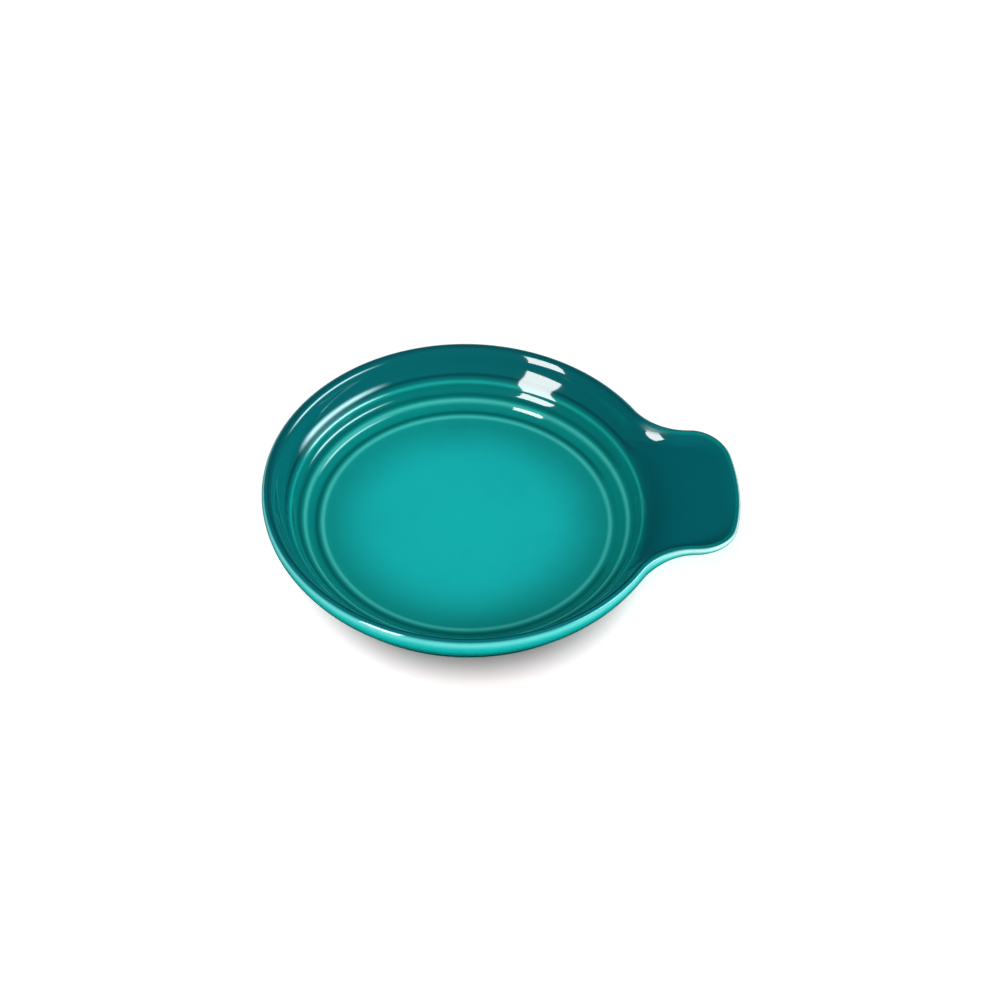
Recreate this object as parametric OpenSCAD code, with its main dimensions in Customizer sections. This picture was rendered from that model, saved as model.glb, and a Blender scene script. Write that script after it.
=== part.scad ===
// Spoon rest: a shallow round stoneware bowl with three raised rings inside
// and a scooped handle, glazed all over but for the foot it stands on.
// Sizes are in mm. +Z is up, the handle points along +X, the foot is on Z = 0
// and the origin is under the middle of the whole outline.

/* [Bowl] */
// Radius of the floor, to the crest of the first ring
floor_r = 45.5; // [36:0.5:56]
// Thickness of the floor
floor_t = 5.4; // [4:0.1:8]
// Width of the step from the first ring to the second
first_step_w = 5.6; // [4.5:0.1:8]
// Rise of the step from the first ring to the second
first_step_rise = 2; // [1:0.1:3]
// Width of the step from the second ring to the third
second_step_w = 4.45; // [4:0.05:8]
// Rise of the step from the second ring to the third
second_step_rise = 4.1; // [2.4:0.1:6]
// Width of the wall from the third ring to the top of the rim
wall_w = 7.2; // [6.5:0.1:11]
// Rise of the wall from the third ring to the top of the rim
wall_rise = 9.2; // [7:0.1:12]
// Thickness of the wall
wall_t = 4.4; // [3.5:0.1:5.5]
// Rounding of the rim inward from its top
rim_in = 2.5; // [2:0.1:3.4]
// Rounding of the rim outward from its top
rim_out = 1.75; // [1.2:0.05:2.4]
// Rounding of the rim downward from its top
rim_drop = 2.5; // [1.8:0.1:3.2]

/* [Rings] */
// Width of the inner flank of the first ring
ring_w = 1.7; // [1:0.1:2.5]
// Height of the first ring above the floor
ring_h = 0.5; // [0.3:0.05:1]
// Width of the shelf outside the first ring
shelf_1_w = 2; // [1.2:0.1:2.4]
// Fall of the shelf outside the first ring
shelf_1_fall = 0.1; // [0:0.05:0.3]
// Width of the shelf outside the second ring
shelf_2_w = 1.5; // [1:0.1:2]
// Rise of the shelf outside the second ring
shelf_2_rise = 0.5; // [0.2:0.05:0.8]
// Width of the shelf outside the third ring
shelf_3_w = 1.15; // [0.8:0.05:1.5]
// Rise of the shelf outside the third ring
shelf_3_rise = 1.2; // [0.6:0.05:1.6]
// Width of a ring's rounded crest
crest_w = 0.45; // [0.3:0.05:0.7]
// Height of the second ring's rounded crest
crest_2_h = 0.3; // [0.2:0.05:0.5]
// Height of the third ring's rounded crest
crest_3_h = 0.6; // [0.4:0.05:0.9]

/* [Handle] */
// Length of the handle beyond the rim
handle_len = 21.7; // [16:0.1:40]
// Width of the handle
handle_w = 52; // [42:0.5:62]
// Straight length of the handle's sides
side_len = 0.5; // [0.3:0.1:4]
// Radius of the handle's corners
corner_r = 13.6; // [9:0.2:18]
// Radius of the handle's bulged end
tip_r = 64; // [48:1:90]
// Fall of the handle's edge from the rim to the corners
side_fall = 0.4; // [0:0.1:2]
// Fall of the handle's edge from the corners to the middle of its end
tip_fall = 2.9; // [1.5:0.1:4]
// Width of the trough's side walls
trough_wall_w = 4.6; // [3.6:0.1:8]
// Thickness of the handle
handle_t = 3.4; // [2.8:0.1:4.5]
// Rounding of the handle's edge inward from its top
lip_in = 1.8; // [1:0.1:3]
// Rounding of the handle's edge outward from its top
lip_out = 1.4; // [1:0.1:2]
// Rounding of the handle's edge downward from its top
lip_drop = 1.6; // [1:0.1:2.5]

/* [Foot] */
// Radius to the middle of the foot ring
foot_r = 45; // [34:0.5:48]
// Width of the foot ring
foot_w = 4.6; // [3.6:0.1:7]
// Height of the foot ring on its outside
foot_h = 2.6; // [2:0.1:4]
// Depth of the well inside the foot ring
well_d = 1.9; // [1.6:0.1:3]
// Height of the bare clay at the foot
bare_h = 1; // [0.8:0.1:1.4]
// Worn edge of the foot
foot_edge = 0.5; // [0.3:0.1:0.7]

/* [Glaze] */
// Thickness of the glaze
glaze_t = 0.4; // [0.2:0.05:0.6]

/* [Colours] */
// Bare fired clay
clay_colour = "#cdbfa8";
// Glaze on the inside
inside_colour = "#0f8280";
// Glaze on the outside and in the well
outside_colour = "#2fa89b";

/* [Hidden] */

// Steps round half of the outline
tip_steps = 5;
corner_steps = 6;
neck_steps = 5;
bowl_steps = 18;

// Where the rounding of the edge starts on the inside, in degrees:
// on the rim, on the handle's sides and in the middle of its end
rim_start = 0;
side_start = 32;
tip_start = 72;
// Points on the rounding, as shares of the way up to the top, and in degrees beyond it
roll_shares = [0.36, 0.7, 1];
roll_out_angles = [115, 145, 180];

// How a ring's flank, a step and a wall are shaped
flank_share = 0.4;
flank_rise_share = 0.86;
step_shares = [0.4, 0.75];
step_straight_shares = [0.12, 0.39];
step_powers = [3, 2.3];
wall_straight_share = 0.67;
wall_power = 2.25;
trough_power = 2;
trough_floor_power = 6;
section_shares = [0.08, 0.17, 0.3, 0.55, 0.79, 0.87, 0.94, 1];
under_shares = [0.2, 0.45, 0.75];
under_out_share = 0.62;
under_up_share = 0.12;
floor_middle_share = 0.5;
third_share = 1 / 3;

// Heights
well_z = well_d;
floor_z = well_d + floor_t;
ring_1_z = floor_z + ring_h;
ring_2_z = ring_1_z + first_step_rise;
ring_3_z = ring_2_z + second_step_rise;
rim_z = ring_3_z + wall_rise;
side_z = rim_z - side_fall;
tip_z = side_z - tip_fall;

// Radii
ring_2_r = floor_r + first_step_w;
ring_3_r = ring_2_r + second_step_w;
rim_r = ring_3_r + wall_w + rim_out;
shelf_3_r = ring_3_r + shelf_3_w;
shelf_3_z = ring_3_z + shelf_3_rise;
foot_out_r = foot_r + foot_w / 2;
foot_in_r = foot_r - foot_w / 2;

// Outline of the handle, as arcs that touch each other
half_w = handle_w / 2;
tip_x = rim_r + handle_len;
tip_cx = tip_x - tip_r;
corner_cy = half_w - corner_r;
corner_cx = tip_cx + sqrt(pow(tip_r - corner_r, 2) - pow(corner_cy, 2));
neck_cx = corner_cx - side_len;
neck_arc_r = (pow(neck_cx, 2) - pow(rim_r, 2) + pow(half_w, 2)) / (2 * (rim_r - half_w));
neck_cy = half_w + neck_arc_r;
tip_angle = atan2(corner_cy, corner_cx - tip_cx);
neck_angle = atan2(neck_cy, neck_cx);
centre_x = (tip_x - rim_r) / 2;

function mix(a, b, s) = a + (b - a) * s;
function smooth(s) = s * s * (3 - 2 * s);
function unit(v) = v / norm(v);
function turn(a) = [cos(a), sin(a)];
function climb(s, straight, power) = straight * s + (1 - straight) * pow(s, power);
function flat(rows) = [for (row = rows) each row];
function curve(a, b, c, d, s) =
    pow(1 - s, 3) * a + 3 * s * pow(1 - s, 2) * b + 3 * s * s * (1 - s) * c + pow(s, 3) * d;

// A station is a point of the outline, its outward direction, its share of handle,
// the height of the edge there and the angle that its rounding starts at
function end_station(centre, r, a) =
    let (p = centre + r * turn(a), share = pow(p.y / half_w, 2))
    [p, turn(a), 1, mix(tip_z, side_z, share), mix(tip_start, side_start, share)];
function neck_station(s) =
    let (a = mix(90, neck_angle, s), p = [neck_cx, neck_cy] - neck_arc_r * turn(a), share = smooth(s))
    [p, turn(a), 1 - share, mix(side_z, rim_z, share), mix(side_start, rim_start, share)];
function bowl_station(a) = [rim_r * turn(a), turn(a), 0, rim_z, rim_start];
function mirrored(st) = [[st[0].x, -st[0].y], [st[1].x, -st[1].y], st[2], st[3], st[4]];

half_stations = concat(
    [for (i = [0 : tip_steps - 1]) end_station([tip_cx, 0], tip_r, tip_angle * i / tip_steps)],
    [for (i = [0 : corner_steps])
        end_station([corner_cx, corner_cy], corner_r, mix(tip_angle, 90, i / corner_steps))],
    [for (i = [0 : neck_steps - 1]) neck_station(i / neck_steps)],
    [for (i = [0 : bowl_steps]) bowl_station(mix(neck_angle, 180, i / bowl_steps))]
);
last_half = len(half_stations) - 1;
stations = concat(half_stations, [for (i = [last_half - 1 : -1 : 1]) mirrored(half_stations[i])]);
count = len(stations);

// The rings, as radius and height from the floor to the third crest
function flank(r, z, below) =
    [[r - ring_w, z - below], [r - ring_w * flank_share, mix(z - below, z, flank_rise_share)], [r, z]];
function step_to(n, r0, z0, to_r, to_z, crest_h) =
    let (r1 = to_r - crest_w, z1 = to_z - crest_h)
    concat(
        [[r0, z0]],
        [for (s = step_shares)
            [mix(r0, r1, s), mix(z0, z1, climb(s, step_straight_shares[n], step_powers[n]))]],
        [[r1, z1], [to_r, to_z]]
    );
ring_points = concat(
    [[floor_r * floor_middle_share, floor_z]],
    flank(floor_r, ring_1_z, ring_h),
    step_to(0, floor_r + shelf_1_w, ring_1_z - shelf_1_fall, ring_2_r, ring_2_z, crest_2_h),
    step_to(1, ring_2_r + shelf_2_w, ring_2_z + shelf_2_rise, ring_3_r, ring_3_z, crest_3_h)
);

// The wall and the handle's trough, from the third shelf to the rounded edge:
// the trough's floor climbs out of the bowl, levels out and runs to the handle's end
function edge_in(st) = mix(rim_in, lip_in, st[2]);
function edge_out(st) = mix(rim_out, lip_out, st[2]);
function edge_drop(st) = mix(rim_drop, lip_drop, st[2]);
function edge_point(st, a) =
    let (
        inward = 1 - a / 90,
        reach = inward > 0 ? edge_in(st) * inward : edge_out(st) * cos(a),
        fall = inward > 0 ? pow(inward, 2) : 1 - sin(a),
        p = st[0] - st[1] * (edge_out(st) + reach)
    )
    [p.x, p.y, st[3] - edge_drop(st) * fall];
function edge_start(st) = edge_point(st, st[4]);
trough_end = edge_start(half_stations[0]);
function trough_floor_z(r) =
    let (s = min(1, max(0, (r - shelf_3_r) / (trough_end.x - shelf_3_r))))
    mix(shelf_3_z, trough_end.z, 1 - pow(1 - s, trough_floor_power));
function wall_point(st, s) =
    let (
        top = edge_start(st),
        j = [top.x, top.y],
        away = unit(st[0]),
        a = away * shelf_3_r,
        reach = norm(j - a),
        p = curve(a, a + away * reach * third_share, j - st[1] * reach * third_share, j, s),
        run = min(trough_wall_w, reach),
        base_r = norm(mix(j, a, run / reach)),
        up = max(0, 1 - norm(j - p) / run),
        straight = wall_straight_share * pow(1 - st[2], 2),
        rise = climb(up, straight, mix(wall_power, trough_power, st[2]))
    )
    [p.x, p.y, mix(trough_floor_z(min(norm(p), base_r)), top.z, rise)];
wall_shares = concat([0], section_shares);
last_share = len(wall_shares) - 1;
wall_grid = [for (st = stations) [for (s = wall_shares) wall_point(st, s)]];

// The underside keeps the wall's thickness
function after(i) = (i + 1) % count;
function before(i) = (i + count - 1) % count;
function wall_normal(i, k) =
    unit(cross(
        wall_grid[i][min(k + 1, last_share)] - wall_grid[i][max(k - 1, 0)],
        wall_grid[after(i)][k] - wall_grid[before(i)][k]
    ));
function thickness(i, k) =
    let (st = stations[i], share = st[2])
    mix(mix(wall_t, handle_t, share), edge_in(st) + edge_out(st), pow(wall_shares[k], 2));
function under_point(i, k) = wall_grid[i][k] - wall_normal(i, k) * thickness(i, k);
function under_foot(i) =
    let (
        away = unit(stations[i][0]),
        q = under_point(i, 0),
        f = [away.x * foot_out_r, away.y * foot_out_r, foot_h],
        c = [
            mix(f.x, q.x, under_out_share),
            mix(f.y, q.y, under_out_share),
            mix(f.z, q.z, under_up_share)
        ]
    )
    concat([for (s = under_shares) pow(1 - s, 2) * q + 2 * s * (1 - s) * c + s * s * f], [f]);

// One section a station, from the middle of the floor round to the well
function on(st, r, z) = [unit(st[0]).x * r, unit(st[0]).y * r, z];
function inside_section(i) = concat(
    [for (p = ring_points) on(stations[i], p[0], p[1])],
    wall_grid[i],
    [for (s = roll_shares) edge_point(stations[i], mix(stations[i][4], 90, s))]
);
function outside_section(i) = concat(
    [for (a = roll_out_angles) edge_point(stations[i], a)],
    [for (k = [last_share : -1 : 0]) under_point(i, k)],
    under_foot(i),
    [on(stations[i], foot_out_r, bare_h)]
);
function bare_section(i) = [
    on(stations[i], foot_out_r - glaze_t, foot_edge),
    on(stations[i], foot_out_r - glaze_t - foot_edge, 0),
    on(stations[i], foot_in_r + glaze_t + foot_edge, 0),
    on(stations[i], foot_in_r + glaze_t, foot_edge)
];
function well_section(i) = [
    on(stations[i], foot_in_r, bare_h),
    on(stations[i], foot_in_r - foot_edge, well_z)
];
skin = [for (i = [0 : count - 1])
    concat(inside_section(i), outside_section(i), bare_section(i), well_section(i))];
inside_count = len(inside_section(0));
outside_count = len(outside_section(0));
bare_count = len(bare_section(0));
skin_count = len(skin[0]);
bare_start = inside_count + outside_count;
well_start = bare_start + bare_count;

// The clay lies one coat of glaze below the skin, and is the skin at the bare foot
top_pole = [0, 0, floor_z];
well_pole = [0, 0, well_z];
function skin_at(i, k) = k < 0 ? top_pole : k >= skin_count ? well_pole : skin[i][k];
function skin_normal(i, k) =
    unit(cross(
        skin_at(i, k + 1) - skin_at(i, k - 1),
        skin[after(i)][k] - skin[before(i)][k]
    ));
function is_bare(k) = k >= bare_start && k < well_start;
clay = [for (i = [0 : count - 1]) [for (k = [0 : skin_count - 1])
    is_bare(k) ? skin[i][k] : skin[i][k] - skin_normal(i, k) * glaze_t]];
up_glaze = [0, 0, glaze_t];

// Triangles of a grid of stations and points, always split along the same diagonal
function sheet(k, first, turned) =
    [for (i = [0 : count - 1], j = [0 : k - 2])
        let (a = first + i * k + j, b = first + after(i) * k + j)
        each turned ? [[a, b + 1, b], [a, a + 1, b + 1]] : [[a, b, b + 1], [a, b + 1, a + 1]]];
function fan(k, first, j, pole, turned) =
    [for (i = [0 : count - 1])
        let (a = first + i * k + j, b = first + after(i) * k + j)
        turned ? [pole, a, b] : [pole, b, a]];
function band(k, first, second, j, turned) =
    [for (i = [0 : count - 1])
        let (
            a = first + i * k + j,
            b = first + after(i) * k + j,
            c = second + i * k + j,
            d = second + after(i) * k + j
        )
        each turned ? [[a, d, b], [a, c, d]] : [[a, b, d], [a, d, c]]];
function part_of(grid, from, to) = [for (row = grid) [for (k = [from : to]) row[k]]];

// A coat between the skin and the clay, closed at a pole or open at both ends
module coat(from, to, skin_pole, clay_pole, pole_end) {
    k = to - from + 1;
    below = count * k;
    poles = 2 * below;
    ends = pole_end == "none" ? [] : [skin_pole, clay_pole];
    fan_at = pole_end == "last" ? k - 1 : 0;
    caps = pole_end == "none"
        ? band(k, 0, below, 0, true)
        : concat(
            fan(k, 0, fan_at, poles, pole_end == "last"),
            fan(k, below, fan_at, poles + 1, pole_end == "first")
        );
    rim = band(k, 0, below, pole_end == "last" ? 0 : k - 1, pole_end == "last");
    polyhedron(
        concat(flat(part_of(skin, from, to)), flat(part_of(clay, from, to)), ends),
        concat(sheet(k, 0, false), sheet(k, below, true), caps, rim)
    );
}

module stoneware_body() {
    poles = count * skin_count;
    color(clay_colour) translate([-centre_x, 0, 0]) polyhedron(
        concat(flat(clay), [top_pole - up_glaze, well_pole + up_glaze]),
        concat(
            sheet(skin_count, 0, false),
            fan(skin_count, 0, 0, poles, false),
            fan(skin_count, 0, skin_count - 1, poles + 1, true)
        )
    );
}

module inside_glaze() {
    color(inside_colour) translate([-centre_x, 0, 0])
        coat(0, inside_count - 1, top_pole, top_pole - up_glaze, "first");
}

module outside_glaze() {
    color(outside_colour) translate([-centre_x, 0, 0])
        coat(inside_count - 1, bare_start - 1, top_pole, top_pole, "none");
}

module foot_well_glaze() {
    color(outside_colour) translate([-centre_x, 0, 0])
        coat(well_start, skin_count - 1, well_pole, well_pole + up_glaze, "last");
}

stoneware_body();
inside_glaze();
outside_glaze();
foot_well_glaze();
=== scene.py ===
import bpy
import numpy as np
from mathutils import Matrix, Vector


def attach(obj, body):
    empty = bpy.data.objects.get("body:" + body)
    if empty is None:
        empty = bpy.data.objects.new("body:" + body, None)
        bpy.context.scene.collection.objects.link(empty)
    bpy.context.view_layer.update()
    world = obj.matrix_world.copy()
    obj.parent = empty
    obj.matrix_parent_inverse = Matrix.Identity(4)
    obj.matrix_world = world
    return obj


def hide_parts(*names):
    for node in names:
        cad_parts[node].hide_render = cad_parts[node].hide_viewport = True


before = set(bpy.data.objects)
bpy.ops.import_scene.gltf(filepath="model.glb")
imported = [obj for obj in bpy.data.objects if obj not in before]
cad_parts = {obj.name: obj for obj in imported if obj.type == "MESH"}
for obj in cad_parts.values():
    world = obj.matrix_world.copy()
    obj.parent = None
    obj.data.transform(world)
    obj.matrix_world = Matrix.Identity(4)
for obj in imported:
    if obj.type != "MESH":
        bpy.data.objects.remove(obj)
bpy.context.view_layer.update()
print("frame loaded with", sorted(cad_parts))

mm = 0.001


# shader tools: a wire is one socket, a paint is one node tree
class Wire:
    def __init__(self, paint, socket):
        self.paint, self.socket = paint, socket

    def __add__(self, other):
        return self.paint.maths("ADD", self, other)

    def __radd__(self, other):
        return self.paint.maths("ADD", other, self)

    def __sub__(self, other):
        return self.paint.maths("SUBTRACT", self, other)

    def __rsub__(self, other):
        return self.paint.maths("SUBTRACT", other, self)

    def __mul__(self, other):
        return self.paint.maths("MULTIPLY", self, other)

    def __rmul__(self, other):
        return self.paint.maths("MULTIPLY", other, self)


class Paint:
    def __init__(self, tree):
        self.tree = tree
        tree.nodes.clear()

    def add(self, kind, settings=None, sockets=None, out=0):
        node = self.tree.nodes.new(kind)
        for key, value in (settings or {}).items():
            setattr(node, key, value)
        for key, value in (sockets or {}).items():
            if isinstance(value, Wire):
                self.tree.links.new(value.socket, node.inputs[key])
            else:
                node.inputs[key].default_value = value
        return Wire(self, node.outputs[out]) if len(node.outputs) else node

    def maths(self, operation, a, b):
        return self.add("ShaderNodeMath", {"operation": operation}, {0: a, 1: b})

    def blend(self, share, a, b):  # colour a, or b where the share is 1
        settings = {"data_type": "RGBA", "clamp_factor": True}
        return self.add("ShaderNodeMix", settings, {0: share, 6: a, 7: b}, out=2)

    def ease(self, value, start, end):  # 0 before start, 1 after end, smooth between
        settings = {"interpolation_type": "SMOOTHSTEP"}
        sockets = {"Value": value, "From Min": start, "From Max": end}
        return self.add("ShaderNodeMapRange", settings, sockets)

    def bump(self, value, middle, halfWidth):  # 1 at middle, 0 half a width away
        rise = self.ease(value, middle - halfWidth, middle)
        return rise * (1 - self.ease(value, middle, middle + halfWidth))

    def noise(self, place, scale, detail, rough):
        sockets = {"Vector": place, "Scale": scale, "Detail": detail, "Roughness": rough}
        return self.add("ShaderNodeTexNoise", {"noise_dimensions": "3D"}, sockets)

    def relief(self, height, deep):  # fine unevenness for a shader's normal
        return self.add("ShaderNodeBump", None, {"Strength": 1.0, "Distance": deep, "Height": height})

    def mark(self, name):  # a value that the mesh carries at each point
        return self.add("ShaderNodeAttribute", {"attribute_name": name}, out="Fac")

    def place(self):
        return self.add("ShaderNodeTexCoord", out="Object")

    def surface(self, shader):
        self.add("ShaderNodeOutputMaterial", sockets={"Surface": shader})


def newPaint(name):
    material = bpy.data.materials.new(name)
    material.use_nodes = True
    return material, Paint(material.node_tree)


def tint(code):  # a hex colour as linear values
    parts = [int(code[i:i + 2], 16) / 255 for i in (1, 3, 5)]
    line = [c / 12.92 if c <= 0.04045 else ((c + 0.055) / 1.055) ** 2.4 for c in parts]
    return (*line, 1.0)


black, white = tint("#000000"), tint("#ffffff")

# the pot's own sizes, in mm, as in the part's source, with finer curves on the foot and in the well
bowl = {
    "floorR": 45.5, "floorZ": 7.3, "ring2R": 51.1, "ring3R": 55.55,
    "ring1Z": 7.8, "ring2Z": 9.8, "ring3Z": 13.9, "ringW": 1.7, "flankPower": 0.6,
    "shelfW": (2.0, 1.5, 1.15), "shelfRise": (-0.1, 0.5, 1.2),
    "crestW": 0.45, "crestH": (0.3, 0.6), "stepStraight": (0.12, 0.39), "stepPower": (3.0, 2.3),
    "rimR": 64.5, "rimZ": 23.1, "rimIn": 2.5, "rimOut": 1.75, "rimDrop": 2.5, "rimStart": 0.0,
    "wallT": 4.4, "wallStraight": 0.67, "wallPower": 2.25,
}
handle = {
    "length": 21.7, "halfW": 26.0, "sideLen": 0.5, "cornerR": 13.6, "tipR": 64.0,
    "sideZ": 22.7, "tipZ": 19.8, "troughWallW": 4.6, "troughPower": 2.0, "floorPower": 6.0,
    "thick": 3.4, "lipIn": 1.8, "lipOut": 1.4, "lipDrop": 1.6, "sideStart": 32.0, "tipStart": 72.0,
}
foot = {
    "outR": 47.3, "inR": 42.7, "height": 2.6, "wellZ": 1.9, "bareH": 1.0, "underOut": 0.62, "underUp": 0.12,
    "wellCurve": ((0.1, 0.56), (0.3, 0.15), (0.5, 0.02), (1.0, 0.0)),  # in from the ring, down from the well
    "wellMiddle": 0.5,
    "standCurve": ((0.0, 0.5), (0.15, 0.18), (0.5, 0.0)),  # in from the ring's side, up from the table
}
coat = {"thick": 0.4, "soften": 1.6, "backSoften": 3.0}
steps = {
    "tip": 10, "corner": 16, "neck": 26, "bowl": 90, "floor": 13, "flank": 8, "shelf": 9, "step": 16,
    "crest": 3, "lastShelf": 6, "wall": 40, "roll": 12, "under": 14,
    "floorStart": 0.04, "wallCrowd": 1.25, "underEvery": 2, "hiddenEvery": 3, "clayEvery": 2,
}
# profile marks inside: 0 in the middle, 1 to 3 at the rings, 4 where the rim starts to roll, 5 on its top;
# these are the shares of the way to the next mark at which a part of the section starts
marks = {"flank": 0.9, "step": 0.35, "crest": 0.9, "wall": 0.15}


def mix(a, b, s):
    return a + (b - a) * s


def smooth(s):
    return s * s * (3 - 2 * s)


def climb(s, straight, power):  # part of the rise is straight, the rest steepens
    return straight * s + (1 - straight) * s ** power


def turn(angle):
    return np.stack([np.cos(angle), np.sin(angle)], -1)


def soften(grid, sigma):  # rounds each section, as a coat of glaze does
    reach = int(np.ceil(3 * sigma))
    weights = np.exp(-0.5 * (np.arange(-reach, reach + 1) / sigma) ** 2)
    weights /= weights.sum()
    before = 2 * grid[:, :1] - grid[:, reach:0:-1]
    after = 2 * grid[:, -1:] - grid[:, -2:-reach - 2:-1]
    longer = np.concatenate([before, grid, after], 1)
    return sum(w * longer[:, k:k + grid.shape[1]] for k, w in enumerate(weights))


def outline():  # points round the edge, outward directions, handle share, edge height, roll start
    rimR, halfW = bowl["rimR"], handle["halfW"]
    tipX = rimR + handle["length"]
    tipCx = tipX - handle["tipR"]
    cornerCy = halfW - handle["cornerR"]
    cornerCx = tipCx + np.sqrt((handle["tipR"] - handle["cornerR"]) ** 2 - cornerCy ** 2)
    neckCx = cornerCx - handle["sideLen"]
    neckR = (neckCx ** 2 - rimR ** 2 + halfW ** 2) / (2 * (rimR - halfW))
    neckCy = halfW + neckR
    tipAngle = np.arctan2(cornerCy, cornerCx - tipCx)
    neckAngle = np.arctan2(neckCy, neckCx)
    aTip = tipAngle * np.arange(steps["tip"]) / steps["tip"]
    aCorner = mix(tipAngle, np.pi / 2, np.arange(steps["corner"] + 1) / steps["corner"])
    sNeck = np.arange(steps["neck"]) / steps["neck"]
    aNeck = mix(np.pi / 2, neckAngle, sNeck)
    aBowl = mix(neckAngle, np.pi, np.arange(steps["bowl"] + 1) / steps["bowl"])
    tipArc = [tipCx, 0] + handle["tipR"] * turn(aTip)
    cornerArc = [cornerCx, cornerCy] + handle["cornerR"] * turn(aCorner)
    neckArc = [neckCx, neckCy] - neckR * turn(aNeck)
    edge = np.concatenate([tipArc, cornerArc, neckArc, rimR * turn(aBowl)])
    out = turn(np.concatenate([aTip, aCorner, aNeck, aBowl]))
    ends = len(aTip) + len(aCorner)
    across = (edge[:ends, 1] / halfW) ** 2
    toBowl = smooth(sNeck)
    flatRim = np.ones(len(aBowl))
    share = np.concatenate([np.ones(ends), 1 - toBowl, 0 * flatRim])
    endZ, neckZ = mix(handle["tipZ"], handle["sideZ"], across), mix(handle["sideZ"], bowl["rimZ"], toBowl)
    edgeZ = np.concatenate([endZ, neckZ, bowl["rimZ"] * flatRim])
    endStart = mix(handle["tipStart"], handle["sideStart"], across)
    neckStart = mix(handle["sideStart"], bowl["rimStart"], toBowl)
    start = np.concatenate([endStart, neckStart, bowl["rimStart"] * flatRim])
    back, flip = slice(-2, 0, -1), np.array([1, -1])
    edge, out = [np.concatenate([v, v[back] * flip]) for v in (edge, out)]
    share, edgeZ, start = [np.concatenate([v, v[back]]) for v in (share, edgeZ, start)]
    return edge, out, share, edgeZ, start, (tipX - rimR) / 2


edge, out, share, edgeZ, rollStart, centreX = outline()
away = edge / np.linalg.norm(edge, axis=1)[:, None]
lipIn = mix(bowl["rimIn"], handle["lipIn"], share)
lipOut = mix(bowl["rimOut"], handle["lipOut"], share)
lipDrop = mix(bowl["rimDrop"], handle["lipDrop"], share)
stations = len(edge)


def on(r, z):  # one ring round the bowl's axis
    return np.concatenate([away * r, np.full((stations, 1), z)], 1)


def edgePoint(degrees):  # 90 is the top of the edge, less is inside and more is outside
    a = degrees * np.ones(stations)
    inward = 1 - a / 90
    reach = np.where(inward > 0, lipIn * inward, lipOut * np.cos(np.radians(a)))
    fall = np.where(inward > 0, inward ** 2, 1 - np.sin(np.radians(a)))
    flat = edge - out * (lipOut + reach)[:, None]
    return np.concatenate([flat, (edgeZ - lipDrop * fall)[:, None]], 1)


def wallGrid(shares):  # the wall and the trough, from the third shelf to the rounded edge
    r0, z0 = bowl["ring3R"] + bowl["shelfW"][2], bowl["ring3Z"] + bowl["shelfRise"][2]
    top = edgePoint(rollStart)
    end, start = top[:, :2], away * r0
    reach = np.linalg.norm(end - start, axis=1)
    run = np.minimum(handle["troughWallW"], reach)
    baseR = np.linalg.norm(mix(end, start, (run / reach)[:, None]), axis=1)
    straight = bowl["wallStraight"] * (1 - share) ** 2
    power = mix(bowl["wallPower"], handle["troughPower"], share)
    second = start + away * reach[:, None] / 3
    third = end - out * reach[:, None] / 3
    rows = []
    for s in shares:
        w = (1 - s) ** 3 * start + 3 * s * (1 - s) ** 2 * second
        w = w + 3 * s * s * (1 - s) * third + s ** 3 * end
        up = np.maximum(0, 1 - np.linalg.norm(end - w, axis=1) / run)
        along = np.clip((np.minimum(np.linalg.norm(w, axis=1), baseR) - r0) / (top[0, 0] - r0), 0, 1)
        low = mix(z0, top[0, 2], 1 - (1 - along) ** handle["floorPower"])
        rows.append(np.concatenate([w, mix(low, top[:, 2], climb(up, straight, power))[:, None]], 1))
    return np.stack(rows, 1)


def ringPoints():  # radius, height and profile mark, from the floor to the third shelf
    rows = []
    floorR, floorZ, ringW = bowl["floorR"], bowl["floorZ"], bowl["ringW"]
    for s in np.linspace(steps["floorStart"], 1, steps["floor"])[:-1]:
        rows.append(((floorR - ringW) * s, floorZ, marks["flank"] * s))
    for s in np.linspace(0, 1, steps["flank"]):
        rise = s ** bowl["flankPower"]
        rows.append((floorR - ringW * (1 - s), mix(floorZ, bowl["ring1Z"], rise), mix(marks["flank"], 1, s)))
    crests = ((floorR, bowl["ring1Z"]), (bowl["ring2R"], bowl["ring2Z"]), (bowl["ring3R"], bowl["ring3Z"]))
    for n in (0, 1):
        (fromR, fromZ), (toR, toZ) = crests[n], crests[n + 1]
        shelfR, shelfZ = fromR + bowl["shelfW"][n], fromZ + bowl["shelfRise"][n]
        topR, topZ = toR - bowl["crestW"], toZ - bowl["crestH"][n]
        for s in np.linspace(0, 1, steps["shelf"])[1:]:
            rows.append((mix(fromR, shelfR, s), mix(fromZ, shelfZ, s), n + 1 + marks["step"] * s))
        for s in np.linspace(0, 1, steps["step"])[1:]:
            rise = climb(s, bowl["stepStraight"][n], bowl["stepPower"][n])
            mark = n + 1 + mix(marks["step"], marks["crest"], s)
            rows.append((mix(shelfR, topR, s), mix(shelfZ, topZ, rise), mark))
        for s in np.linspace(0, 1, steps["crest"])[1:]:
            mark = n + 1 + mix(marks["crest"], 1, s)
            rows.append((mix(topR, toR, s), mix(topZ, toZ, 1 - (1 - s) ** 2), mark))
    (ring3R, ring3Z), shelfW, shelfRise = crests[2], bowl["shelfW"][2], bowl["shelfRise"][2]
    for s in np.linspace(0, 1, steps["lastShelf"])[1:-1]:
        rows.append((ring3R + shelfW * s, ring3Z + shelfRise * s, 3 + marks["wall"] * s))
    return rows


def gridNormals(grid):
    along = np.gradient(grid, axis=1)
    around = np.roll(grid, -1, 0) - np.roll(grid, 1, 0)
    normal = np.cross(along, around)
    return normal / np.maximum(np.linalg.norm(normal, axis=2), 1e-9)[:, :, None]


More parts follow.
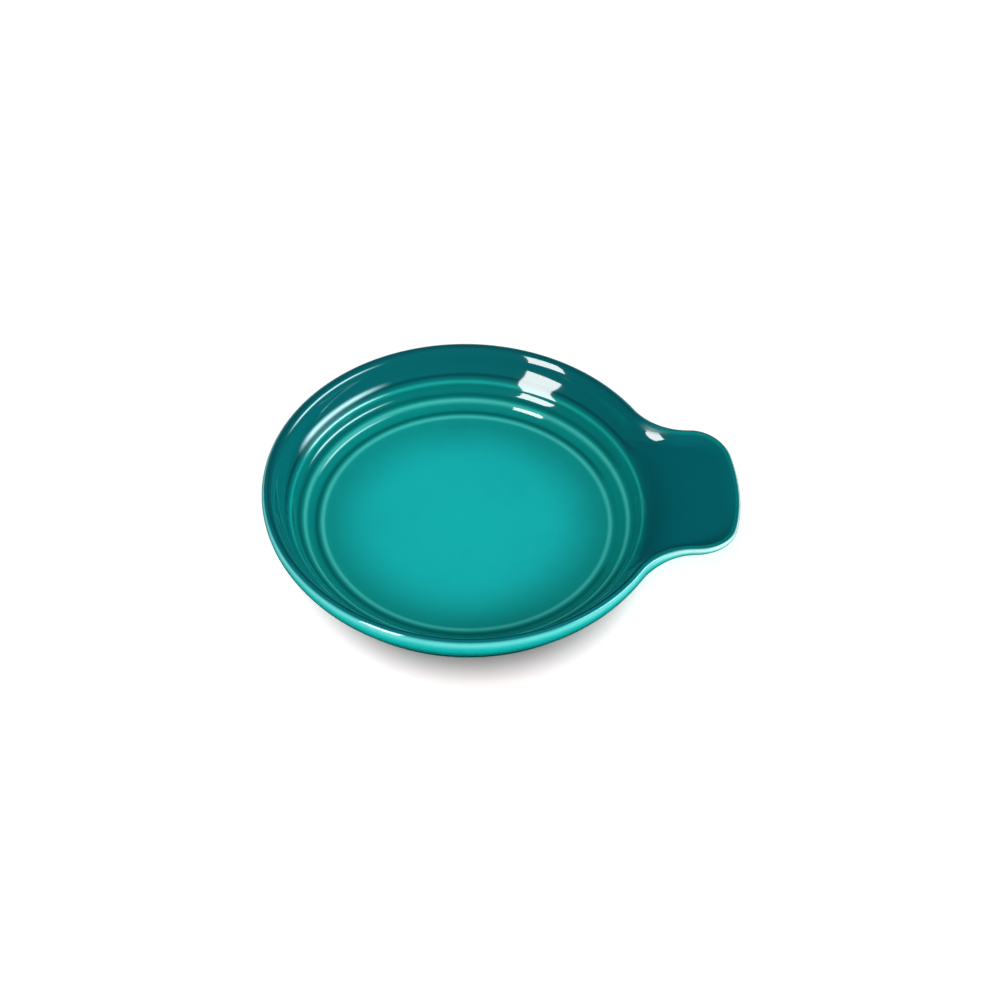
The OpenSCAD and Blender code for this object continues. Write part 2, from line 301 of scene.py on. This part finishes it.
def skins():  # the glazed skin inside and outside, with the profile marks of each
    rings = ringPoints()
    shares = 1 - (1 - np.linspace(0, 1, steps["wall"])) ** steps["wallCrowd"]
    wall = wallGrid(shares)
    inside = [on(r, z) for r, z, m in rings] + [wall[:, k] for k in range(len(shares))]
    insideMarks = [m for r, z, m in rings] + list(3 + mix(marks["wall"], 1, shares))
    for s in np.linspace(0, 1, steps["roll"])[1:]:
        inside.append(edgePoint(mix(rollStart, 90, s)))
        insideMarks.append(4 + s)
    plain = mix(bowl["wallT"], handle["thick"], share)[:, None]
    thick = mix(plain, (lipIn + lipOut)[:, None], shares[None] ** 2)
    under = wall - gridNormals(wall) * thick[:, :, None]
    low, high = on(foot["outR"], foot["height"]), under[:, 0]
    pull = mix(low, high, np.array([foot["underOut"], foot["underOut"], foot["underUp"]]))
    outside = [edgePoint(a) for a in np.linspace(90, 180, steps["roll"])]
    outside += [under[:, k] for k in range(len(shares) - 1, -1, -steps["underEvery"])]
    for s in np.linspace(0, 1, steps["under"])[1:]:
        outside.append((1 - s) ** 2 * high + 2 * s * (1 - s) * pull + s * s * low)
    outside.append(on(foot["outR"], foot["bareH"]))
    inside, outside = [soften(np.stack(rows, 1), coat["soften"]) for rows in (inside, outside)]
    return inside, np.array(insideMarks), outside, np.linspace(0, 1, outside.shape[1])


inside, insideMarks, outside, outsideMarks = skins()
whole = np.concatenate([inside, outside[:, 1:]], 1)
wholeNormals = gridNormals(whole)
insideCount = inside.shape[1]
insideNormals, outsideNormals = wholeNormals[:, :insideCount], wholeNormals[:, insideCount - 1:]
clayWhole = whole - gridNormals(soften(whole, coat["backSoften"])) * coat["thick"]
print("sections:", stations, "round,", insideCount, "inside,", outside.shape[1], "outside")


def thin(grid, every):  # fewer points where nobody looks, both ends kept
    keep = sorted(set(range(0, grid.shape[1], every)) | {grid.shape[1] - 1})
    return grid[:, keep]


def makePiece(name, points, faces, normals, fields):
    mesh = bpy.data.meshes.new(name)
    placed = (np.asarray(points) - [centreX, 0, 0]) * mm
    mesh.from_pydata(placed.tolist(), [], faces)
    mesh.update()
    for key, values in fields.items():
        field = mesh.attributes.new(key, "FLOAT", "POINT")
        field.data.foreach_set("value", np.asarray(values, dtype=np.float32))
    mesh.polygons.foreach_set("use_smooth", np.ones(len(mesh.polygons), dtype=bool))
    mesh.normals_split_custom_set_from_vertices(np.asarray(normals).tolist())
    piece = bpy.data.objects.new(name, mesh)
    bpy.context.scene.collection.objects.link(piece)
    return piece


def sheetFaces(count, first, turned):
    faces = []
    for i in range(stations):
        a, b = first + i * count, first + (i + 1) % stations * count
        for k in range(count - 1):
            face = [a + k, a + k + 1, b + k + 1, b + k]
            faces.append(face[::-1] if turned else face)
    return faces


def ringIndex(count, first, k):
    return [first + i * count + k for i in range(stations)]


def bandFaces(ringA, ringB):
    after = [(i + 1) % stations for i in range(stations)]
    return [[ringA[i], ringB[i], ringB[k], ringA[k]] for i, k in enumerate(after)]


def fanFaces(ring, pole, turned):
    faces = [[pole, ring[i], ring[(i + 1) % stations]] for i in range(stations)]
    return [face[::-1] for face in faces] if turned else faces


def closedCoat(name, skin, normals, back, fields, poles=None, poleAt=0):  # poleAt: the row a pole closes
    k, m = skin.shape[1], back.shape[1]
    first = stations * k
    points = np.concatenate([skin.reshape(-1, 3), back.reshape(-1, 3)])
    pointNormals = np.concatenate([normals.reshape(-1, 3), -gridNormals(back).reshape(-1, 3)])
    values = {key: np.concatenate([v.reshape(-1), np.zeros(stations * m)]) for key, v in fields.items()}
    faces = sheetFaces(k, 0, False) + sheetFaces(m, first, True)
    if poles is None or poleAt != 0:
        faces += bandFaces(ringIndex(m, first, 0), ringIndex(k, 0, 0))
    if poles is None or poleAt == 0:
        faces += bandFaces(ringIndex(k, 0, k - 1), ringIndex(m, first, m - 1))
    if poles is not None:
        up = 1 if poleAt == 0 else -1
        points = np.concatenate([points, np.array(poles)])
        pointNormals = np.concatenate([pointNormals, [[0, 0, up], [0, 0, -up]]])
        values = {key: np.concatenate([v, [v[0], 0]]) for key, v in values.items()}
        top, low = len(points) - 2, len(points) - 1
        faces += fanFaces(ringIndex(k, 0, poleAt % k), top, poleAt != 0)
        faces += fanFaces(ringIndex(m, first, poleAt % m), low, poleAt == 0)
    return makePiece(name, points, faces, pointNormals, values)


# inside glaze: pale where it breaks over the crests, darker in the concave corner at the foot of each rise;
# each tone sets in between two profile marks, and a noise is its scale, detail and roughness
insideLook = {
    "centre": tint("#12aaaa"),
    "tones": (
        {"from": 0.5, "to": 1.0, "colour": tint("#0a8a86")},
        {"from": 1.1, "to": 1.5, "colour": tint("#04827d")},
        {"from": 2.1, "to": 2.5, "colour": tint("#03726f")},
        {"from": 2.9, "to": 3.3, "colour": tint("#035f64")},
        {"from": 4.3, "to": 5.0, "colour": tint("#034b52")},
    ),
    "handleTones": (
        {"from": 3.0, "to": 3.3, "colour": tint("#02575f")},
        {"from": 3.8, "to": 4.5, "colour": tint("#037672")},
    ),
    # a darker tone in the concave corner at the foot of each rise, weaker on the handle
    "riseFootTones": (
        {"at": 1.32, "half": 0.2, "strength": 0.85, "colour": tint("#005f5e")},
        {"at": 2.39, "half": 0.24, "strength": 0.85, "colour": tint("#005c5c")},
        {"at": 3.21, "half": 0.15, "strength": 0.85, "colour": tint("#00434b")},
    ),
    "handleRiseFootLoss": 0.8,
    "crests": (
        {"at": 0.99, "inner": 0.06, "outer": 0.2, "strength": 0.9, "colour": tint("#3eb8b0")},
        {"at": 1.96, "inner": 0.2, "outer": 0.24, "strength": 0.9, "colour": tint("#3fb5ac")},
        {"at": 2.96, "inner": 0.13, "outer": 0.12, "strength": 0.9, "colour": tint("#18a098")},
    ),
    "cloud": (70.0, 4.0, 0.55), "cloudColour": tint("#035f64"), "cloudShare": 0.3,
    "uprightAt": (0.95, 1.1), "troughAt": (0.65, 1.0), "troughLoss": 0.7,
    "neckFrom": (0.05, 0.3), "neckTo": (0.72, 0.92), "lipAt": (3.94, 4.04),
    "rough": 0.05, "floorRough": 0.08, "lipRough": 0.2, "cloudRough": 0.03,
    "ior": 1.45, "coatIor": 1.8, "coatRough": 0.045, "wave": (160.0, 2.0, 0.4), "waveHeight": 0.00001,
}
noiseMiddle = 0.5


def glazeShader(paint, look, colour, rough, coatWeight):
    relief = paint.relief(paint.noise(paint.place(), *look["wave"]), look["waveHeight"])
    return paint.add("ShaderNodeBsdfPrincipled", None, {
        "Base Color": colour, "Roughness": rough, "IOR": look["ior"], "Coat Weight": coatWeight,
        "Coat IOR": look["coatIor"], "Coat Roughness": look["coatRough"], "Normal": relief,
    })


def insideGlazePaint(look):
    material, paint = newPaint("inside glaze")
    profile, handleShare = paint.mark("profile"), paint.mark("handle")
    cloud = paint.noise(paint.place(), *look["cloud"])
    colour = look["centre"]
    for tone in look["tones"]:
        colour = paint.blend(paint.ease(profile, tone["from"], tone["to"]), colour, tone["colour"])
    for tone in look["handleTones"]:
        reached = handleShare * paint.ease(profile, tone["from"], tone["to"])
        colour = paint.blend(reached, colour, tone["colour"])
    # darker in the concave corner at the foot of each rise, less so on the handle
    for pool in look["riseFootTones"]:
        deep = paint.bump(profile, pool["at"], pool["half"]) * pool["strength"]
        colour = paint.blend(deep * (1 - look["handleRiseFootLoss"] * handleShare), colour, pool["colour"])
    for crest in look["crests"]:
        rise = paint.ease(profile, crest["at"] - crest["inner"], crest["at"])
        fall = 1 - paint.ease(profile, crest["at"], crest["at"] + crest["outer"])
        colour = paint.blend(rise * fall * crest["strength"], colour, crest["colour"])
    colour = paint.blend((cloud - noiseMiddle) * look["cloudShare"], colour, look["cloudColour"])
    # softer gloss, so that the lamps whiten the floor and the trough less from behind,
    # and the spot that the neck's lip mirrors stays small
    upright, trough = paint.ease(profile, *look["uprightAt"]), paint.ease(handleShare, *look["troughAt"])
    neck = paint.ease(handleShare, *look["neckFrom"]) * (1 - paint.ease(handleShare, *look["neckTo"]))
    neckLip = neck * paint.ease(profile, *look["lipAt"])
    rough = look["rough"] + look["floorRough"] * (1 - upright) + look["lipRough"] * neckLip
    rough = rough + look["cloudRough"] * cloud
    coatWeight = upright * (1 - look["troughLoss"] * trough) * (1 - neckLip)
    paint.surface(glazeShader(paint, look, colour, rough, coatWeight))
    return material


# outside glaze: an even, lighter turquoise, also in the well inside the foot ring;
# its profile marks run from 0 on top of the rim to 1 at the foot
outsideLook = {
    # the lips are paler where the glaze thins over the rounded edge, and their pale colour is partly a
    # painted reflection of the white floor
    "edge": tint("#04626a"), "paleLipAndReflection": tint("#52c4c0"), "handleLipAndReflection": tint("#b0e2dc"), "lipAt": (0.06, 0.13),
    "side": tint("#12b6af"), "sideAt": (0.16, 0.26), "low": tint("#10bab2"), "lowAt": (0.3, 0.8),
    "wellMark": 0.6,
    "cloud": (80.0, 4.0, 0.55), "pool": tint("#0a8a84"), "poolShare": 0.5, "poolBase": 0.1,
    "rough": 0.08, "cloudRough": 0.04,
    "ior": 1.45, "coatWeight": 1.0, "coatIor": 1.8, "coatRough": 0.06,
    "wave": (140.0, 2.0, 0.4), "waveHeight": 0.00002,
}


def outsideGlazePaint(look):
    material, paint = newPaint("outside glaze")
    profile, handleShare = paint.mark("profile"), paint.mark("handle")
    cloud = paint.noise(paint.place(), *look["cloud"])
    # lip tones: glaze thinning over the edge, partly a painted reflection of the white floor
    paleLipAndReflection = paint.blend(handleShare, look["paleLipAndReflection"], look["handleLipAndReflection"])
    colour = paint.blend(paint.ease(profile, *look["lipAt"]), look["edge"], paleLipAndReflection)
    colour = paint.blend(paint.ease(profile, *look["sideAt"]), colour, look["side"])
    colour = paint.blend(paint.ease(profile, *look["lowAt"]), colour, look["low"])
    pooled = (cloud - noiseMiddle) * look["poolShare"] + look["poolBase"]
    colour = paint.blend(pooled, colour, look["pool"])
    rough = look["rough"] + look["cloudRough"] * cloud
    paint.surface(glazeShader(paint, look, colour, rough, look["coatWeight"]))
    return material


# bare clay: buff stoneware with fine sand and a few dark specks
clayLook = {
    "clay": tint("#d8c9ae"), "warm": tint("#c4ae8c"), "cloud": (120.0, 5.0, 0.6), "warmAt": (0.35, 0.7),
    "speck": tint("#6f5a45"), "specks": (1500.0, 1.0, 0.5), "speckAt": (0.68, 0.72), "speckShare": 0.8,
    "sand": (2600.0, 2.0, 0.6), "sandHeight": 0.00012, "rough": 0.82, "cloudRough": 0.1,
}


def barePaint(look):
    material, paint = newPaint("bare stoneware")
    place = paint.place()
    cloud, sand, specks = [paint.noise(place, *look[key]) for key in ("cloud", "sand", "specks")]
    colour = paint.blend(paint.ease(cloud, *look["warmAt"]), look["clay"], look["warm"])
    colour = paint.blend(look["speckShare"] * paint.ease(specks, *look["speckAt"]), colour, look["speck"])
    shader = paint.add("ShaderNodeBsdfPrincipled", None, {
        "Base Color": colour, "Roughness": look["rough"] + look["cloudRough"] * cloud,
        "Normal": paint.relief(sand, look["sandHeight"]),
    })
    paint.surface(shader)
    return material


insidePaint = insideGlazePaint(insideLook)
outsidePaint = outsideGlazePaint(outsideLook)
clayPaint = barePaint(clayLook)
print("glazes and clay mixed")

up = np.array([0, 0, coat["thick"]])
floorPole, wellPole = np.array([0, 0, bowl["floorZ"]]), np.array([0, 0, foot["wellZ"]])


def markGrid(profile, handleShare):  # what the glaze reads at each point of a skin
    values = {"profile": profile, "handle": handleShare[:, None]}
    return {key: np.broadcast_to(value, (stations, len(profile))) for key, value in values.items()}


insideBack = thin(clayWhole[:, :insideCount], steps["hiddenEvery"])
insideCoat = closedCoat(
    "insideGlazeCoat", inside, insideNormals, insideBack, markGrid(insideMarks, share),
    poles=[floorPole, floorPole - up],
)

outsideBack = thin(clayWhole[:, insideCount - 1:], steps["hiddenEvery"])
outsideCoat = closedCoat(
    "outsideGlazeCoat", outside, outsideNormals, outsideBack, markGrid(outsideMarks, share),
)

wellRows = [on(foot["inR"], foot["bareH"])]
wellRows += [on(foot["inR"] - inset, foot["wellZ"] - drop) for inset, drop in foot["wellCurve"]]
wellRows.append(on(foot["inR"] * foot["wellMiddle"], foot["wellZ"]))
wellSkin = np.stack(wellRows, 1)
wellNormals = gridNormals(wellSkin)
wellClay = wellSkin - wellNormals * coat["thick"]
wellMarks = markGrid(np.full(len(wellRows), outsideLook["wellMark"]), np.zeros(stations))
wellCoat = closedCoat(
    "footWellGlazeCoat", wellSkin, wellNormals, wellClay, wellMarks,
    poles=[wellPole, wellPole + up], poleAt=-1,
)

outerR, innerR = foot["outR"] - coat["thick"], foot["inR"] + coat["thick"]
standRows = [on(outerR - inset, height) for inset, height in foot["standCurve"]]
standRows += [on(innerR + inset, height) for inset, height in reversed(foot["standCurve"])]
body = np.concatenate([thin(clayWhole, steps["clayEvery"]), np.stack(standRows, 1), wellClay], 1)
bodyCount = body.shape[1]
bodyPoints = np.concatenate([body.reshape(-1, 3), [floorPole - up, wellPole + up]])
bodyNormals = np.concatenate([gridNormals(body).reshape(-1, 3), [[0, 0, 1], [0, 0, -1]]])
bodyFaces = sheetFaces(bodyCount, 0, False)
bodyFaces += fanFaces(ringIndex(bodyCount, 0, 0), len(bodyPoints) - 2, False)
bodyFaces += fanFaces(ringIndex(bodyCount, 0, bodyCount - 1), len(bodyPoints) - 1, True)
clayBody = makePiece("stonewareClay", bodyPoints, bodyFaces, bodyNormals, {})

for piece, node, slot, material in (
    (insideCoat, "inside_glaze", "inside_glaze", insidePaint),
    (outsideCoat, "outside_glaze", "outside_glaze", outsidePaint),
    (wellCoat, "foot_well_glaze", "outside_glaze", outsidePaint),
    (clayBody, "stoneware_body", "bare_clay", clayPaint),
):
    piece.data.materials.append(material)
    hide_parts(node)
    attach(piece, "root")
print("pot built from", len(bodyFaces), "clay faces and three coats of glaze")

# the camera looks down at the bowl's axis from in front, a touch to the left
view = {
    "aim": (-10.85, 0.0, 7.8), "distance": 1365.0, "elevation": 47.856, "turned": 1.5, "roll": 1.017,
    "focalPixels": 4319.3, "frame": 1000.0, "aimPixel": (466.489, 520.611), "sensor": 36.0,
    "clip": (0.05, 200.0),
}


def setCamera(view):
    el, az, roll = [np.radians(view[key]) for key in ("elevation", "turned", "roll")]
    toCamera = Vector((-np.cos(el) * np.sin(az), -np.cos(el) * np.cos(az), np.sin(el)))
    right = Vector((np.cos(az), -np.sin(az), 0))
    upward = toCamera.cross(right)
    tiltedRight = right * np.cos(roll) + upward * np.sin(roll)
    tiltedUp = upward * np.cos(roll) - right * np.sin(roll)
    middle = view["frame"] / 2
    du = (middle - view["aimPixel"][0]) / view["focalPixels"]
    dv = (view["aimPixel"][1] - middle) / view["focalPixels"]
    forward = (-toCamera + tiltedRight * du + tiltedUp * dv).normalized()
    camX = (tiltedRight - forward * tiltedRight.dot(forward)).normalized()
    camY = (-forward).cross(camX)
    turnTo = Matrix((camX, camY, -forward)).transposed().to_4x4()
    data = bpy.data.cameras.new("camera")
    data.sensor_width = view["sensor"]
    data.lens = view["focalPixels"] * view["sensor"] / view["frame"]
    data.clip_start, data.clip_end = view["clip"]
    camera = bpy.data.objects.new("camera", data)
    spot = Vector(view["aim"]) * mm + toCamera * view["distance"] * mm
    camera.matrix_world = Matrix.Translation(spot) @ turnTo
    bpy.context.scene.collection.objects.link(camera)
    bpy.context.scene.camera = camera


setCamera(view)
print("camera set")

# lamps: the two numbers of an end are degrees right of the camera and degrees above the table;
# the glaze mirrors the window and the strip, and the other three only light it
window = {"ends": ((-41.0, 12.5), (-41.0, 42.0)), "wide": 17.5, "away": 2.0, "glow": 5.4}
strip = {
    "ends": ((44.0, 28.5), (110.0, 7.0)), "wide": 17.0, "away": 2.0, "glow": 6.5,
    "fades": (0.4, 0.25), "colour": tint("#cbfaff"),
}
side = {"ends": ((60.0, 18.0), (130.0, 18.0)), "wide": 24.0, "away": 2.0, "glow": 2.2}
front = {"ends": ((-50.0, 20.0), (50.0, 20.0)), "wide": 22.0, "away": 2.0, "glow": 0.6}
broad = {"lift": 55.0, "away": 1.6, "size": 2.4, "glow": 1.66}

lampPower = 4  # watts for each square metre of a lamp, at a glow of 1
aim = Vector(view["aim"]) * mm


def areaLamp(name, middle, along, wide, glow):  # along is the lamp's long side
    data = bpy.data.lights.new(name, "AREA")
    data.shape = "RECTANGLE"
    data.size, data.size_y = wide, along.length
    data.energy = lampPower * glow * wide * along.length
    lamp = bpy.data.objects.new(name, data)
    yAxis = along.normalized()
    zAxis = middle - aim
    zAxis = (zAxis - yAxis * zAxis.dot(yAxis)).normalized()
    turnTo = Matrix((yAxis.cross(zAxis), yAxis, zAxis)).transposed().to_4x4()
    lamp.matrix_world = Matrix.Translation(middle) @ turnTo
    bpy.context.scene.collection.objects.link(lamp)
    return lamp


def toward(turned, lift, away):  # a spot that far off over the table
    az = np.radians(turned - view["turned"])
    return aim + away * Vector((np.sin(az), -np.cos(az), np.tan(np.radians(lift))))


def lampBetween(name, lamp):
    low, high = [toward(turned, lift, lamp["away"]) for turned, lift in lamp["ends"]]
    middle = (low + high) / 2
    wide = 2 * (middle - aim).length * np.tan(np.radians(lamp["wide"] / 2))
    return areaLamp(name, middle, high - low, wide, lamp["glow"])


def softEdges(lamp, look):  # brightest along its middle, fading out towards its ends
    lamp.data.use_nodes = True
    paint = Paint(lamp.data.node_tree)
    spot = paint.add("ShaderNodeNewGeometry", out="Parametric")
    across, along = [paint.add("ShaderNodeSeparateXYZ", None, {0: spot}, out=axis) for axis in ("X", "Y")]
    startFade, endFade = look["fades"]
    glow = paint.bump(across, 0.5, 0.5) * paint.ease(along, 0.0, startFade)
    glow = glow * (1 - paint.ease(along, 1 - endFade, 1.0))
    colour = paint.blend(glow, black, look["colour"])
    lit = paint.add("ShaderNodeEmission", None, {"Color": colour, "Strength": 1.0})
    paint.add("ShaderNodeOutputLight", sockets={"Surface": lit})


windowLamp, stripLamp = lampBetween("window", window), lampBetween("strip", strip)
sideLamp, frontLamp = lampBetween("side", side), lampBetween("front", front)
softEdges(stripLamp, strip)
broadSpot = toward(0, broad["lift"], broad["away"])
broadLamp = areaLamp("broad", broadSpot, Vector((broad["size"], 0, 0)), broad["size"], broad["glow"])
for lamp in (sideLamp, frontLamp, broadLamp):
    lamp.visible_glossy = False
print("lamps set")

# floor: white paper, shown brighter away from the foot, so that the shadow stays close to it;
# the paper gives off its own light towards the pot, and the glaze mirrors it only further out
paper = {
    "size": 30.0, "colour": (0.84, 0.81, 0.81, 1.0), "shade": (0.78, 0.75, 0.75, 1.0),
    "grain": (40.0, 2.0, 0.5), "grainShare": 0.3,
    "seen": (1.34, 1.03, 1.05, 1.0), "seenFar": (0.85, 0.86, 0.86, 1.0), "seenAt": (0.064, 0.085),
    "axis": (-0.0083, -0.016, 0.0), "lift": 0.6, "liftAt": (0.0325, 0.058),
    "bounce": 0.95, "bounceAt": (0.047, 0.085), "mirrored": 1.0, "mirroredAt": (0.09, 0.3),
}


def paperPaint(paper):
    material, paint = newPaint("paper")
    rays = ("Is Camera Ray", "Is Glossy Ray")
    seen, mirrored = [paint.add("ShaderNodeLightPath", out=ray) for ray in rays]
    place = paint.place()
    grain = paint.noise(place, *paper["grain"])
    colour = paint.blend(paper["grainShare"] * grain, paper["colour"], paper["shade"])
    matte = paint.add("ShaderNodeBsdfDiffuse", None, {"Color": colour})
    ends = {0: place, 1: paper["axis"]}
    far = paint.add("ShaderNodeVectorMath", {"operation": "DISTANCE"}, ends, out="Value")
    shown = paint.blend(paint.ease(far, *paper["seenAt"]), paper["seen"], paper["seenFar"])
    bright = paint.add("ShaderNodeBsdfDiffuse", None, {"Color": shown})
    lights = {}
    for key in ("lift", "bounce", "mirrored"):
        glow = paint.blend(paint.ease(far, *paper[key + "At"]), black, white)
        lights[key] = paint.add("ShaderNodeEmission", None, {"Color": glow, "Strength": paper[key]})
    forCamera = paint.add("ShaderNodeAddShader", None, {0: bright, 1: lights["lift"]})
    forPot = paint.add("ShaderNodeAddShader", None, {0: matte, 1: lights["bounce"]})
    base = paint.add("ShaderNodeMixShader", None, {0: mirrored, 1: forPot, 2: lights["mirrored"]})
    paint.surface(paint.add("ShaderNodeMixShader", None, {0: seen, 1: base, 2: forCamera}))
    return material


half = paper["size"] / 2
floorMesh = bpy.data.meshes.new("paper")
corners = [(-half, -half, 0), (half, -half, 0), (half, half, 0), (-half, half, 0)]
floorMesh.from_pydata(corners, [], [(0, 1, 2, 3)])
floor = bpy.data.objects.new("paper", floorMesh)
floorMesh.materials.append(paperPaint(paper))
bpy.context.scene.collection.objects.link(floor)

# the four low lamps leave the floor to the broad lamp and the room
spared = bpy.data.collections.new("floor")
spared.objects.link(floor)
spared.collection_objects[0].light_linking.link_state = "EXCLUDE"
for lamp in (windowLamp, stripLamp, sideLamp, frontLamp):
    lamp.light_linking.receiver_collection = spared

# room: even light all round, which the glaze hardly mirrors
roomLight = {"soft": 0.32, "mirrored": 0.01}
world = bpy.data.worlds.new("room")
bpy.context.scene.world = world
world.use_nodes = True
room = Paint(world.node_tree)
mirrored = room.add("ShaderNodeLightPath", out="Is Glossy Ray")
strength = roomLight["soft"] + (roomLight["mirrored"] - roomLight["soft"]) * mirrored
air = room.add("ShaderNodeBackground", None, {"Color": white, "Strength": strength})
room.add("ShaderNodeOutputWorld", sockets={"Surface": air})
bpy.context.scene.view_settings.view_transform = "Standard"
print("floor and room set")
